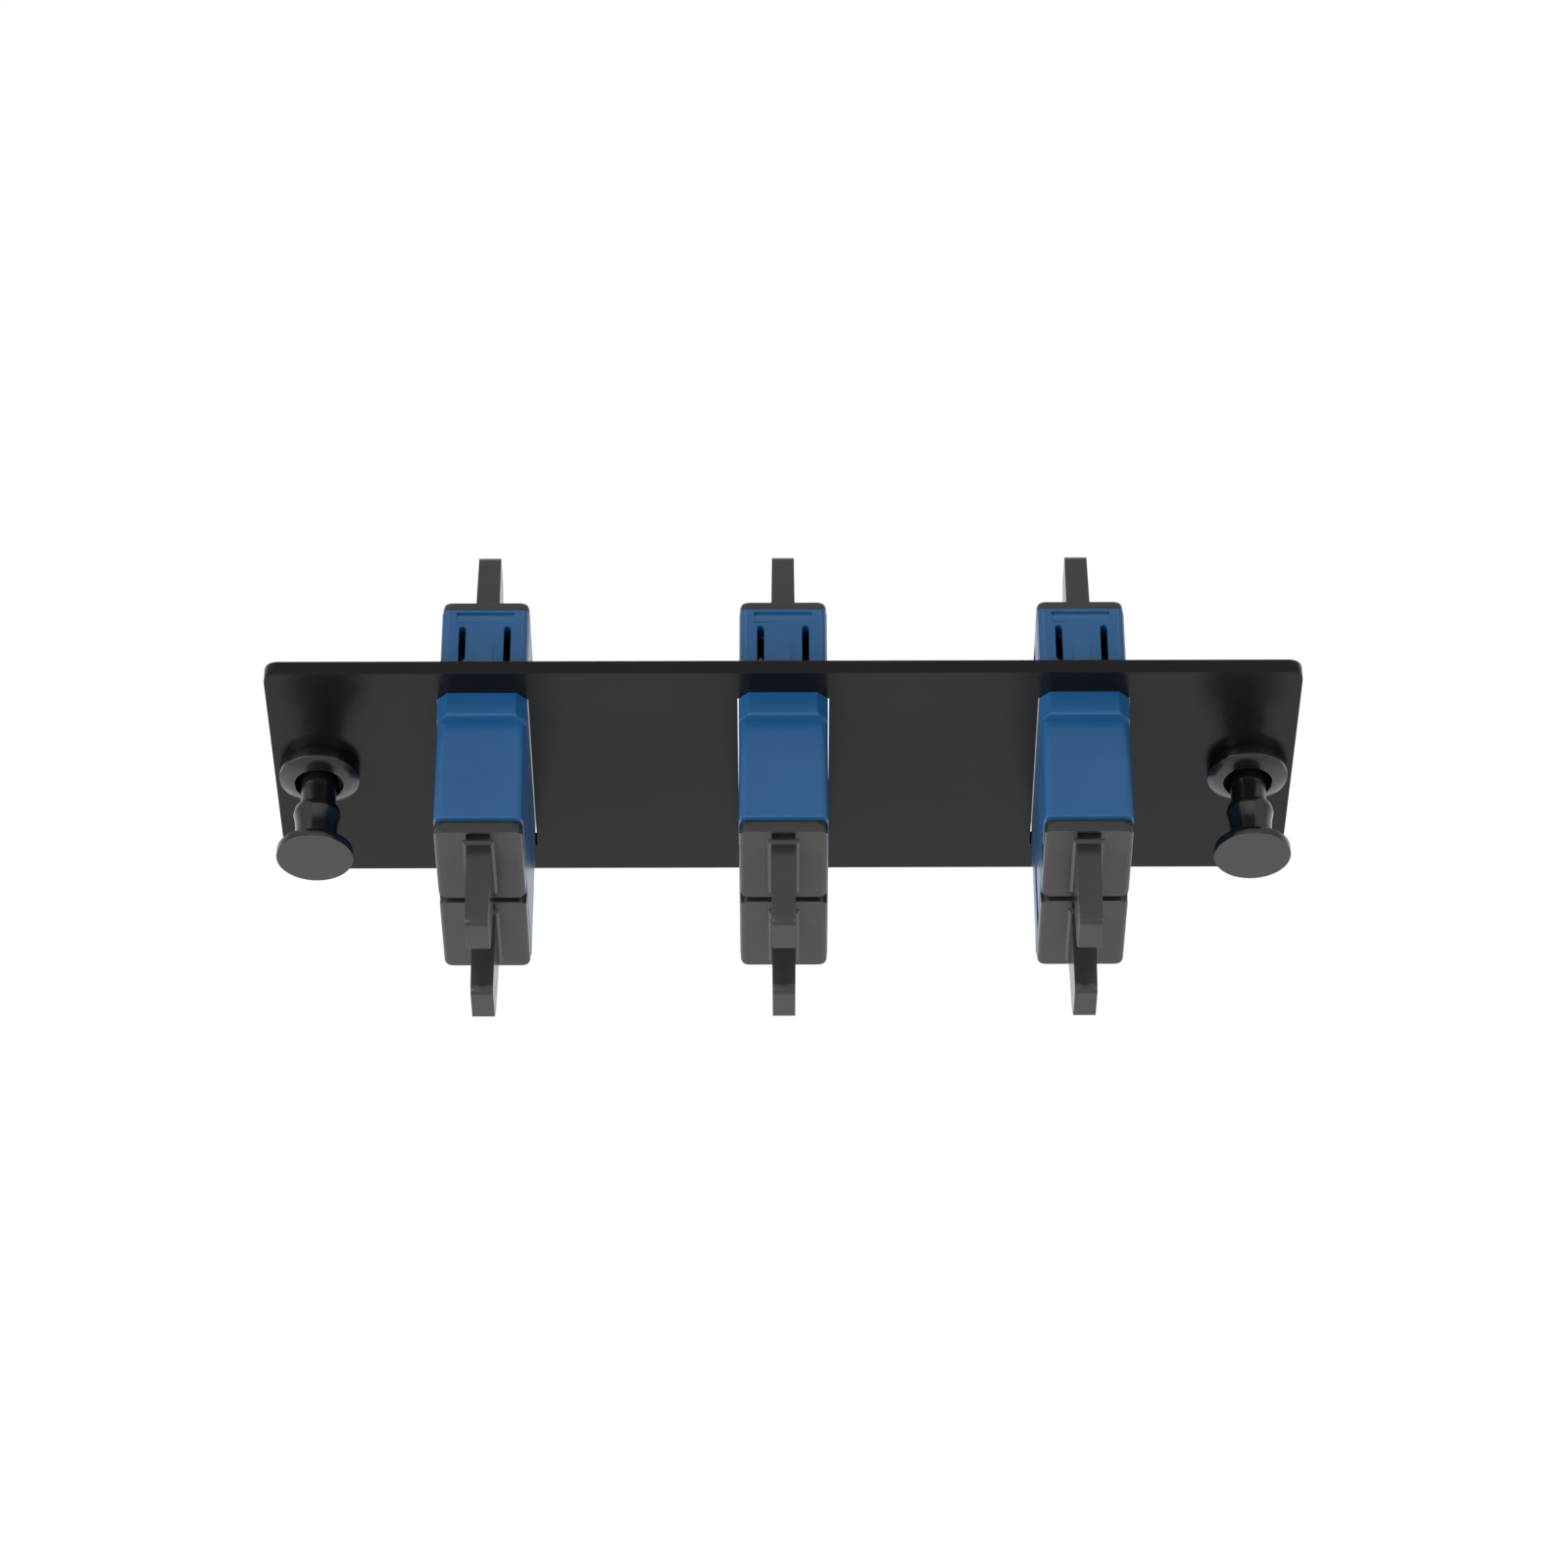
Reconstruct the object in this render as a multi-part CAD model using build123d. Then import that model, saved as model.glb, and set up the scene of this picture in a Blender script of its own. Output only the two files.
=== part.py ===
from build123d import *
import os

# Fibre adapter panel: a flat sheet with three duplex adapters, a dust cap in every port and a
# push-pull latch near each end. Millimetres, X along the sheet, +Y towards the rear, +Z up.
# The origin is the centre of the sheet's rear face, which seats on the enclosure.

# Sheet
SHEET_LENGTH = 111.4
SHEET_HEIGHT = 35.4
SHEET_THICKNESS = 1.7
SHEET_CORNER_R = 1.5

# Adapters along the sheet
ADAPTER_PITCH = 32.4
ADAPTER_NAMES = ("left", "middle", "right")
CUTOUT_SIDE_GAP = 0.175
CUTOUT_END_GAP = 0.15

# Adapter housing
HOUSING_WIDTH = 9.55
HOUSING_HEIGHT = 26.15
HOUSING_EDGE_R = 1.0
HOUSING_HALF_LENGTH = 14.3
RIM_ROUND = 0.48
FLANGE_WIDTH = 9.6
FLANGE_HEIGHT = 28.8
FLANGE_THICKNESS = 3.05
FLANGE_CHAMFER = 1.1
MATING_PLANE_DEPTH = 1.7

# Ports
PORT_PITCH = 12.7
PORT_NAMES = ("lower", "upper")
PORT_WIDTH = 7.4
PORT_HEIGHT = 9.0
KEY_SLOT_HEIGHT = 3.0
KEY_SLOT_LENGTH = 8.8

# Latch tongues moulded into the rear housing
TONGUE_WIDTH = 4.13
TONGUE_THICKNESS = 1.2
TONGUE_SLOT = 0.76
TONGUE_ROOT = 11.9
TONGUE_BRIDGE = 0.5
RAMP_WIDTH = 1.75
RAMP_LENGTH = 6.6
RAMP_RISE = 0.7
RAMP_GAP = 0.1
GRIP_WIDTH = 6.3
GRIP_DEPTH = 0.25
GRIP_LENGTH = 1.75
GRIP_SETBACK = 0.53

# Inner holders and sleeves
PLATE_THICKNESS = 1.2
PLATE_MARGIN_X = 0.45
PLATE_MARGIN_Z = 0.65
MOULD_GAP = 0.05
SLEEVE_OUTER_D = 3.2
SLEEVE_BORE_D = 2.5
SLEEVE_LENGTH = 11.2
SLEEVE_SLIT = 0.5
SLEEVE_GAP = 0.05
SLEEVE_END_GAP = 0.1
HOLDER_TUBE_WALL = 0.7
HOLDER_LIP = 0.5
FERRULE_GAP = 0.1
HOOK_LENGTH = 9.0
HOOK_WIDTH = 3.0
HOOK_THICKNESS = 0.8
HOOK_NOSE = 0.45
HOOK_NOSE_LENGTH = 1.0
HOOK_PORT_GAP = 0.2

# Dust caps
CAP_WIDTH = 9.13
CAP_HEIGHT = 11.83
CAP_THICKNESS = 1.25
CAP_CORNER_R = 0.9
CAP_SIDE_ROUND = 0.45
CAP_RISE = 0.23
CAP_SPIGOT_LENGTH = 2.0
CAP_SPIGOT_GAP = 0.06
CAP_TUBE_WALL = 0.5
CAP_TUBE_LENGTH = 10.0
CAP_TUBE_GAP = 0.1
PAD_WIDTH = 3.4
PAD_TOP = 4.43
PAD_BOTTOM = -4.95
PAD_RAISE = 0.35
PAD_BEVEL = 0.3
FIN_LENGTH = 9.4
FIN_ROOT_WIDTH = 2.6
FIN_TIP_WIDTH = 2.43
FIN_ROOT_TOP = 3.55
FIN_TIP_TOP = 2.6
FIN_TIP_BOTTOM = -2.1
FIN_ROOT_BOTTOM = -4.7
FIN_BOTTOM_SLOPE = 0.1
FIN_TOP_R = 0.89
FIN_HEEL_SETBACK = 3.4
FIN_HEEL_BULGE = 0.35
NOTCH_WIDTH = 2.5
NOTCH_HEIGHT = 1.1
NOTCH_DEPTH = 0.9
NOTCH_GAP = 0.07

# Push-pull latches
LATCH_INSET = 5.0
LATCH_RISE = 0.8
GROMMET_HOLE_GAP = 0.05
NECK_STEP = 0.05
COLLAR_D = 8.74
COLLAR_THICKNESS = 1.42
COLLAR_LIP = 0.2
DISH_DEPTH = 0.55
WELL_D = 5.4
WELL_DEPTH = 0.9
LEG_D = 6.2
LEG_LENGTH = 7.8
LEG_TAPER_LENGTH = 1.6
LEG_TAPER = 0.5
LEG_CAVITY_D = 4.6
LEG_CAVITY_START = 2.2
LEG_SLIT = 0.9
BEAD_RISE = 0.3
BEAD_LENGTH = 0.7
BEAD_GAP = 0.05

PIN_D = 3.74
PIN_GAP = 0.05
PIN_BARB_RISE = 0.3
PIN_BARB_LENGTH = 1.6
PIN_STOP_GAP = 0.05
HEAD_D = 8.3
HEAD_THICKNESS = 0.95
HEAD_CHAMFER = 0.1
HEAD_REACH = 12.03
WAIST_D = 4.55
WAIST_LENGTH = 2.35
RING_D = 5.16
RING_BACK_D = 4.9
RING_REACH = 6.37
RING_BAND = 0.67
RING_SHOULDER = 0.35

# Derived planes and sizes
FRONT_FACE_Y = -SHEET_THICKNESS
MATING_Y = FRONT_FACE_Y - MATING_PLANE_DEPTH
POCKET_WIDTH = PORT_WIDTH + 2 * (PLATE_MARGIN_X + MOULD_GAP)
POCKET_HEIGHT = PORT_HEIGHT + 2 * (PLATE_MARGIN_Z + MOULD_GAP)
HOLDER_BORE_D = SLEEVE_OUTER_D + 2 * SLEEVE_GAP
HOLDER_TUBE_D = HOLDER_BORE_D + 2 * HOLDER_TUBE_WALL
HOLDER_TUBE_LENGTH = SLEEVE_LENGTH / 2 + SLEEVE_END_GAP + HOLDER_LIP
GROMMET_NECK_D = LEG_D + 2 * NECK_STEP
BEAD_D = GROMMET_NECK_D + 2 * BEAD_RISE
OVERSHOOT = 1.0


def facing(y):
    """Sketch plane at y that looks to the front: sketch x is X, sketch y is Z, outward is -Y."""
    return Plane(origin=(0, y, 0), x_dir=(1, 0, 0), z_dir=(0, -1, 0))


def prism(outline, back_y, front_y):
    """An outline in X and Z, extruded from back_y to front_y."""
    return extrude(facing(back_y) * outline, amount=back_y - front_y)


def side_plate(outline, width):
    """A closed outline in Y and Z, extruded symmetrically across X."""
    return extrude(Plane.YZ * make_face(outline), amount=width / 2, both=True)


def turned(points):
    """A revolved solid about Y from (y, radius) points that start and end on the axis."""
    outline = make_face(Polyline(*[(radius, y) for y, radius in points], close=True))
    return revolve(outline, axis=Axis.Y)


def port_heights():
    """Heights of the port axes in an adapter, lower port first."""
    return (-PORT_PITCH / 2, PORT_PITCH / 2)


def panel_plate():
    """The sheet with its adapter cut-outs and latch holes."""
    plate = prism(RectangleRounded(SHEET_LENGTH, SHEET_HEIGHT, SHEET_CORNER_R), 0, FRONT_FACE_Y)
    cutout = prism(
        Rectangle(HOUSING_WIDTH + 2 * CUTOUT_SIDE_GAP, HOUSING_HEIGHT + 2 * CUTOUT_END_GAP),
        OVERSHOOT,
        FRONT_FACE_Y - OVERSHOOT,
    )
    for x in adapter_positions():
        plate -= Pos(x, 0, 0) * cutout
    hole = prism(Circle(GROMMET_NECK_D / 2 + GROMMET_HOLE_GAP), OVERSHOOT, FRONT_FACE_Y - OVERSHOOT)
    for x in latch_positions():
        plate -= Pos(x, 0, LATCH_RISE) * hole
    return plate


def adapter_positions():
    """X of the adapters, left to right."""
    middle = (len(ADAPTER_NAMES) - 1) / 2
    return [(index - middle) * ADAPTER_PITCH for index in range(len(ADAPTER_NAMES))]


def latch_positions():
    """X of the two latches, left to right."""
    reach = SHEET_LENGTH / 2 - LATCH_INSET
    return [-reach, reach]


def port_cuts(back_y):
    """Both port openings and their key slots, cut from back_y out through the rim at the front."""
    rim = -HOUSING_HALF_LENGTH
    opening = prism(Rectangle(PORT_WIDTH, PORT_HEIGHT), back_y, rim - OVERSHOOT)
    slot_reach = HOUSING_WIDTH / 2 + OVERSHOOT
    slot = prism(Rectangle(slot_reach, KEY_SLOT_HEIGHT), rim + KEY_SLOT_LENGTH, rim - OVERSHOOT)
    opening += Pos(-slot_reach / 2, 0, 0) * slot
    return [Pos(0, 0, z) * opening for z in port_heights()]


def rimmed_body(back_y):
    """Housing body from back_y to the rim at the front, where side view and plan are rounded."""
    outline = RectangleRounded(HOUSING_WIDTH, HOUSING_HEIGHT, HOUSING_EDGE_R)
    body = prism(outline, back_y, -HOUSING_HALF_LENGTH)
    run = back_y + OVERSHOOT + HOUSING_HALF_LENGTH
    middle = run / 2 - HOUSING_HALF_LENGTH
    side = Pos(middle, 0) * Rectangle(run, HOUSING_HEIGHT)
    side = fillet(side.vertices().group_by(Axis.X)[0], RIM_ROUND)
    plan = Pos(0, middle) * Rectangle(HOUSING_WIDTH, run)
    plan = fillet(plan.vertices().group_by(Axis.Y)[0], RIM_ROUND)
    body &= extrude(Plane.YZ * side, amount=HOUSING_WIDTH, both=True)
    return body & extrude(plan, amount=HOUSING_HEIGHT, both=True)


def flange():
    """The chamfered flange that stops the adapter against the sheet's front face."""
    outline = chamfer(Rectangle(FLANGE_WIDTH, FLANGE_HEIGHT).vertices(), FLANGE_CHAMFER)
    return prism(outline, MATING_PLANE_DEPTH, MATING_PLANE_DEPTH - FLANGE_THICKNESS)


def housing_front():
    """Front half: flange, two ports and the pockets that clamp the inner holders.

    Modelled about the mating plane at y = 0 with the rim towards -Y.
    """
    housing = rimmed_body(MATING_PLANE_DEPTH) + flange()
    open_back = MATING_PLANE_DEPTH + OVERSHOOT
    for cut in port_cuts(open_back):
        housing -= cut
    pocket = prism(Rectangle(POCKET_WIDTH, POCKET_HEIGHT), open_back, -PLATE_THICKNESS)
    for z in port_heights():
        housing -= Pos(0, 0, z) * pocket
    return housing


def tongue_slots():
    """U-shaped slot that frees a latch tongue in the top wall, and the relief under the tongue.

    Both are cut upwards from the axis of the upper port, where the port is already open.
    """
    port_axis = Plane.XY.offset(PORT_PITCH / 2)
    free_end = MATING_PLANE_DEPTH + TONGUE_BRIDGE
    run = TONGUE_ROOT - free_end
    reach = TONGUE_WIDTH / 2 + TONGUE_SLOT
    slot = Pos(0, -free_end - run / 2) * SlotOverall(run, TONGUE_SLOT, rotation=90)
    outline = Pos(0, -free_end - TONGUE_SLOT / 2) * Rectangle(2 * reach, TONGUE_SLOT)
    for side in (-1, 1):
        outline += Pos(side * (reach - TONGUE_SLOT / 2), 0) * slot
    through = extrude(port_axis * outline, amount=HOUSING_HEIGHT / 2)
    relief_run = run - TONGUE_SLOT
    relief = Pos(0, -free_end - relief_run / 2) * Rectangle(2 * reach, relief_run)
    tongue_underside = HOUSING_HEIGHT / 2 - TONGUE_THICKNESS
    return through + extrude(port_axis * relief, amount=tongue_underside - PORT_PITCH / 2)


def snap_ramp():
    """Ramp rooted in the tongue that snaps out behind the sheet, curving up towards it."""
    top = HOUSING_HEIGHT / 2
    root = top - TONGUE_THICKNESS / 2
    sheet_side = -(MATING_PLANE_DEPTH + SHEET_THICKNESS + RAMP_GAP)
    start = sheet_side - RAMP_LENGTH
    crest = (sheet_side, top + RAMP_RISE)
    slope = TangentArc((start, top), crest, tangent=(1, 0))
    foot = Polyline(crest, (sheet_side, root), (start, root), (start, top))
    return side_plate(slope + foot, RAMP_WIDTH)


def finger_recess():
    """Shallow stepped recess near the rear rim, its floor curving out towards the sheet."""
    top = HOUSING_HEIGHT / 2
    step = -(HOUSING_HALF_LENGTH - GRIP_SETBACK)
    end = step + GRIP_LENGTH
    floor = TangentArc((end, top), (step, top - GRIP_DEPTH), tangent=(-1, 0))
    above = Polyline((step, top - GRIP_DEPTH), (step, top + OVERSHOOT), (end, top + OVERSHOOT), (end, top))
    return side_plate(floor + above, GRIP_WIDTH)


def housing_rear():
    """Rear half: two ports, a latch tongue top and bottom, and spigots that press on the holders.

    Modelled like the front half, rim towards -Y, and mirrored in place.
    """
    housing = rimmed_body(-MATING_PLANE_DEPTH)
    spigot = prism(
        Rectangle(POCKET_WIDTH - 2 * MOULD_GAP, POCKET_HEIGHT - 2 * MOULD_GAP),
        -PLATE_THICKNESS,
        -MATING_PLANE_DEPTH - OVERSHOOT,
    )
    for z in port_heights():
        housing += Pos(0, 0, z) * spigot
    for cut in port_cuts(OVERSHOOT):
        housing -= cut
    for half in (Rot(0, 0, 0), Rot(0, 180, 0)):
        housing -= half * (tongue_slots() + finger_recess())
        housing += half * snap_ramp()
    return mirror(housing, about=Plane.XZ)


def holder_half():
    """One of two equal mouldings per port: plate, sleeve tube with a lip, and two plug hooks.

    Modelled about the mating plane at y = 0, tube and hooks towards -Y.
    """
    plate = Rectangle(POCKET_WIDTH - 2 * MOULD_GAP, POCKET_HEIGHT - 2 * MOULD_GAP)
    holder = prism(plate, 0, -PLATE_THICKNESS)
    holder += prism(Circle(HOLDER_TUBE_D / 2), 0, -HOLDER_TUBE_LENGTH)
    holder += holder_hook() + Rot(0, 180, 0) * holder_hook()
    holder -= prism(Circle(HOLDER_BORE_D / 2), OVERSHOOT, HOLDER_LIP - HOLDER_TUBE_LENGTH)
    holder -= prism(Circle(SLEEVE_BORE_D / 2 + FERRULE_GAP), 0, -HOLDER_TUBE_LENGTH - OVERSHOOT)
    return holder


def holder_hook():
    """The upper plug hook: a flexible arm with a nose that points at the sleeve tube."""
    outer = PORT_HEIGHT / 2 - HOOK_PORT_GAP
    inner = outer - HOOK_THICKNESS
    points = (
        (-PLATE_THICKNESS / 2, outer),
        (-PLATE_THICKNESS / 2, inner),
        (HOOK_NOSE_LENGTH - HOOK_LENGTH, inner),
        (HOOK_NOSE_LENGTH - HOOK_LENGTH, inner - HOOK_NOSE),
        (-HOOK_LENGTH, inner),
        (-HOOK_LENGTH, outer),
    )
    return side_plate(Polyline(*points, close=True), HOOK_WIDTH)


def split_sleeve():
    """The slit ceramic alignment sleeve, centred on the mating plane."""
    half = SLEEVE_LENGTH / 2
    sleeve = prism(Circle(SLEEVE_OUTER_D / 2) - Circle(SLEEVE_BORE_D / 2), half, -half)
    slit = Pos(0, 0, SLEEVE_OUTER_D / 2) * Box(SLEEVE_SLIT, SLEEVE_LENGTH + OVERSHOOT, SLEEVE_OUTER_D)
    return sleeve - slit


def cap_head():
    """The cap's head: a rounded outline with softer side edges on its face, and a small notch."""
    outline = prism(RectangleRounded(CAP_WIDTH, CAP_HEIGHT, CAP_CORNER_R), 0, -CAP_THICKNESS)
    plan = Pos(0, -CAP_THICKNESS / 2) * Rectangle(CAP_WIDTH, CAP_THICKNESS)
    plan = fillet(plan.vertices().group_by(Axis.Y)[0], CAP_SIDE_ROUND)
    head = outline & extrude(plan, amount=CAP_HEIGHT / 2, both=True)
    notch_floor = NOTCH_DEPTH - CAP_THICKNESS
    notch = prism(Rectangle(NOTCH_WIDTH, NOTCH_HEIGHT), notch_floor, -CAP_THICKNESS - OVERSHOOT)
    return head - Pos(0, 0, PAD_TOP + NOTCH_GAP + NOTCH_HEIGHT / 2) * notch


def fin_pad():
    """The bevelled pad that the fin grows from, standing proud of the head."""
    height = PAD_TOP - PAD_BOTTOM
    pad = Pos(0, 0, PAD_BOTTOM + height / 2) * prism(Rectangle(PAD_WIDTH, height), 0, -PAD_RAISE)
    return chamfer(pad.faces().sort_by(Axis.Y)[0].edges(), PAD_BEVEL)


def fin_side_outline():
    """Side view of the fin: tapered top with a rounded nose, upright tip and a cut-back heel."""
    heel_start = FIN_LENGTH - FIN_HEEL_SETBACK
    slope = (FIN_TIP_TOP - FIN_ROOT_TOP) / FIN_LENGTH
    nose_top = (-(FIN_LENGTH - FIN_TOP_R), FIN_TIP_TOP - slope * FIN_TOP_R)
    nose_front = (-FIN_LENGTH, FIN_TIP_TOP - FIN_TOP_R)
    heel_bottom_z = FIN_ROOT_BOTTOM + FIN_BOTTOM_SLOPE * heel_start
    heel_mid = (
        -(FIN_LENGTH + heel_start) / 2 - FIN_HEEL_BULGE,
        (FIN_TIP_BOTTOM + heel_bottom_z) / 2 - FIN_HEEL_BULGE,
    )
    edges = [
        Line((0, FIN_ROOT_TOP), nose_top),
        RadiusArc(nose_top, nose_front, -FIN_TOP_R),
        Line(nose_front, (-FIN_LENGTH, FIN_TIP_BOTTOM)),
        ThreePointArc((-FIN_LENGTH, FIN_TIP_BOTTOM), heel_mid, (-heel_start, heel_bottom_z)),
        Line((-heel_start, heel_bottom_z), (0, FIN_ROOT_BOTTOM)),
        Line((0, FIN_ROOT_BOTTOM), (0, FIN_ROOT_TOP)),
    ]
    return make_face(edges)


def cap_fin():
    """The drafted pull fin: its side outline, narrowed evenly from root to tip."""
    side = extrude(Plane.YZ * fin_side_outline(), amount=FIN_ROOT_WIDTH, both=True)
    plan = make_face(
        Polyline(
            (-FIN_ROOT_WIDTH / 2, 0),
            (FIN_ROOT_WIDTH / 2, 0),
            (FIN_TIP_WIDTH / 2, -FIN_LENGTH),
            (-FIN_TIP_WIDTH / 2, -FIN_LENGTH),
            close=True,
        )
    )
    return side & extrude(plan, amount=CAP_HEIGHT, both=True)


def dust_cap():
    """A dust cap about the port's axis, with the back of its head on the rim plane y = 0."""
    spigot_outline = Rectangle(PORT_WIDTH - 2 * CAP_SPIGOT_GAP, PORT_HEIGHT - 2 * CAP_SPIGOT_GAP)
    bore = HOLDER_TUBE_D / 2 + CAP_TUBE_GAP
    cap = Pos(0, 0, CAP_RISE) * cap_head()
    cap += Pos(0, -CAP_THICKNESS, CAP_RISE) * (fin_pad() + cap_fin())
    cap += prism(spigot_outline, CAP_SPIGOT_LENGTH, 0)
    cap += prism(Circle(bore + CAP_TUBE_WALL), CAP_TUBE_LENGTH, 0)
    return cap - prism(Circle(bore), CAP_TUBE_LENGTH + OVERSHOOT, 0)


def grommet():
    """Latch grommet about its own axis: dished collar, neck in the sheet, bead and four legs."""
    collar_front = FRONT_FACE_Y - COLLAR_THICKNESS
    neck_r = GROMMET_NECK_D / 2
    bead_start = BEAD_GAP
    bead_end = BEAD_GAP + BEAD_LENGTH
    body = turned(
        (
            (collar_front, 0),
            (collar_front, COLLAR_D / 2),
            (FRONT_FACE_Y, COLLAR_D / 2),
            (FRONT_FACE_Y, neck_r),
            (bead_start, neck_r),
            (bead_start, BEAD_D / 2),
            (bead_end, LEG_D / 2),
            (LEG_LENGTH - LEG_TAPER_LENGTH, LEG_D / 2),
            (LEG_LENGTH, LEG_D / 2 - LEG_TAPER),
            (LEG_LENGTH, 0),
        )
    )
    dish_floor = collar_front + DISH_DEPTH
    well_floor = dish_floor + WELL_DEPTH
    bore_r = PIN_D / 2 + PIN_GAP
    bore = turned(
        (
            (collar_front, 0),
            (collar_front, COLLAR_D / 2 - COLLAR_LIP),
            (dish_floor, WELL_D / 2),
            (well_floor, WELL_D / 2),
            (well_floor, bore_r),
            (LEG_CAVITY_START, bore_r),
            (LEG_CAVITY_START, LEG_CAVITY_D / 2),
            (LEG_LENGTH + OVERSHOOT, LEG_CAVITY_D / 2),
            (LEG_LENGTH + OVERSHOOT, 0),
        )
    )
    slit_length = LEG_LENGTH - bead_end + OVERSHOOT
    slit = Pos(0, bead_end + slit_length / 2, 0) * Box(COLLAR_D, slit_length, LEG_SLIT)
    return body - bore - slit - Rot(0, 90, 0) * slit


def plunger():
    """Push-pull plunger, pulled out: head, waist, stop ring, pin and the barb that holds it in."""
    head_front = FRONT_FACE_Y - HEAD_REACH
    head_back = head_front + HEAD_THICKNESS
    ring_front = FRONT_FACE_Y - RING_REACH
    ring_back = ring_front + RING_BAND
    pin_r = PIN_D / 2
    barb_back = LEG_CAVITY_START + PIN_STOP_GAP
    tip = barb_back + PIN_BARB_LENGTH
    flare_start = (WAIST_D / 2, head_back + WAIST_LENGTH)
    head_and_waist = Polyline(
        (0, head_front),
        (HEAD_D / 2, head_front),
        (HEAD_D / 2, head_back),
        (WAIST_D / 2, head_back),
        flare_start,
    )
    flare = TangentArc(flare_start, (RING_D / 2, ring_front), tangent=(0, 1))
    ring_and_pin = Polyline(
        (RING_D / 2, ring_front),
        (RING_BACK_D / 2, ring_back),
        (pin_r, ring_back + RING_SHOULDER),
        (pin_r, barb_back),
        (pin_r + PIN_BARB_RISE, barb_back),
        (pin_r - PIN_BARB_RISE, tip),
        (0, tip),
        (0, head_front),
    )
    profile = make_face(head_and_waist + flare + ring_and_pin)
    profile = chamfer(profile.vertices().group_by(Axis.X)[-1], HEAD_CHAMFER)
    return revolve(profile, axis=Axis.Y)


def placed_parts():
    """Every piece by node name, in its place."""
    parts = {"panel_plate": panel_plate()}
    front, rear = housing_front(), housing_rear()
    holder, sleeve, cap = holder_half(), split_sleeve(), dust_cap()
    holder_back, cap_back = mirror(holder, about=Plane.XZ), mirror(cap, about=Plane.XZ)
    for adapter, x in zip(ADAPTER_NAMES, adapter_positions()):
        at_adapter = Pos(x, MATING_Y, 0)
        parts[f"housing_front_{adapter}"] = at_adapter * front
        parts[f"housing_rear_{adapter}"] = at_adapter * rear
        for port, z in zip(PORT_NAMES, port_heights()):
            at_port = at_adapter * Pos(0, 0, z)
            parts[f"holder_front_{adapter}_{port}"] = at_port * holder
            parts[f"holder_rear_{adapter}_{port}"] = at_port * holder_back
            parts[f"sleeve_{adapter}_{port}"] = at_port * sleeve
            parts[f"cap_front_{adapter}_{port}"] = at_port * Pos(0, -HOUSING_HALF_LENGTH, 0) * cap
            parts[f"cap_rear_{adapter}_{port}"] = at_port * Pos(0, HOUSING_HALF_LENGTH, 0) * cap_back
    latch_grommet, latch_plunger = grommet(), plunger()
    for side, x in zip(("left", "right"), latch_positions()):
        parts[f"grommet_{side}"] = Pos(x, 0, LATCH_RISE) * latch_grommet
        parts[f"plunger_{side}"] = Pos(x, 0, LATCH_RISE) * latch_plunger
    return parts


def main():
    """Write one STEP file for each piece."""
    os.makedirs("parts", exist_ok=True)
    for name, part in placed_parts().items():
        export_step(part, f"parts/{name}.step")


main()
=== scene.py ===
"""Looks of the fibre adapter panel: finishes, softened edges, camera and studio.

Metres throughout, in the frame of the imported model: X along the sheet, +Y to the rear, +Z up.
"""
import logging
import math
from dataclasses import dataclass, field
from enum import Enum
from typing import Callable, Iterable

import bmesh
import bpy
from mathutils import Matrix, Vector


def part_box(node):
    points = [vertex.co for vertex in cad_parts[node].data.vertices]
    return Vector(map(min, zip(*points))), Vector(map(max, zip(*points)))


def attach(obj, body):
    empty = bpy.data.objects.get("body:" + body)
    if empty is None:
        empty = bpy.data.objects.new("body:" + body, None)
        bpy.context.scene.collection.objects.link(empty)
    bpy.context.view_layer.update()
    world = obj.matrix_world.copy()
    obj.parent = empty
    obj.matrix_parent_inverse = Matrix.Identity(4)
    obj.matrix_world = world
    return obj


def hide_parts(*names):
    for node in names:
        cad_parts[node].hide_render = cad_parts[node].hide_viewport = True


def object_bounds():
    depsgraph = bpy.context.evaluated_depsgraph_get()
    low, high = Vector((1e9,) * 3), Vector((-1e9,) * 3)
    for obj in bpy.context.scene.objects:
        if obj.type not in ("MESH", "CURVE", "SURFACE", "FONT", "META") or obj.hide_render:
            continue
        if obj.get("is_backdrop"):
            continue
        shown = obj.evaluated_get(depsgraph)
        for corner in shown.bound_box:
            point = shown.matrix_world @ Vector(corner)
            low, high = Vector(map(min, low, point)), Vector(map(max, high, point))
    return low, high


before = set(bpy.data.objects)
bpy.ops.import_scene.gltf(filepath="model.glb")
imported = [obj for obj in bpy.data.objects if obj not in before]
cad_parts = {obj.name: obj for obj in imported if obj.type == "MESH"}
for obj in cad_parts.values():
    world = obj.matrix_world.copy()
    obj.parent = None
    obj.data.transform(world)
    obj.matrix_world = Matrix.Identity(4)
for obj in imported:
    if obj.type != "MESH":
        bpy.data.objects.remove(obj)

LOG = logging.getLogger("adapter_panel")
MM = 0.001
NEAR = 0.001 * MM
Colour = tuple[float, float, float]


class Face(Enum):
    """The side of the sheet that a port opens to, with the turn of a piece seated there."""

    FRONT = ("front", 0.0)
    REAR = ("rear", math.pi)

    @property
    def label(self) -> str:
        """The word that node names use."""
        return self.value[0]

    @property
    def turn(self) -> float:
        """Turn about Z, in radians, from a piece made for the front."""
        return self.value[1]


class Column(Enum):
    """The three adapters, left to right, by their place in the row."""

    LEFT = ("left", -1)
    MIDDLE = ("middle", 0)
    RIGHT = ("right", 1)


class Row(Enum):
    """The two ports of an adapter, as a share of the port pitch from its middle."""

    LOWER = ("lower", -0.5)
    UPPER = ("upper", 0.5)


class Side(Enum):
    """The two ends of the sheet."""

    LEFT = "left"
    RIGHT = "right"


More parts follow.
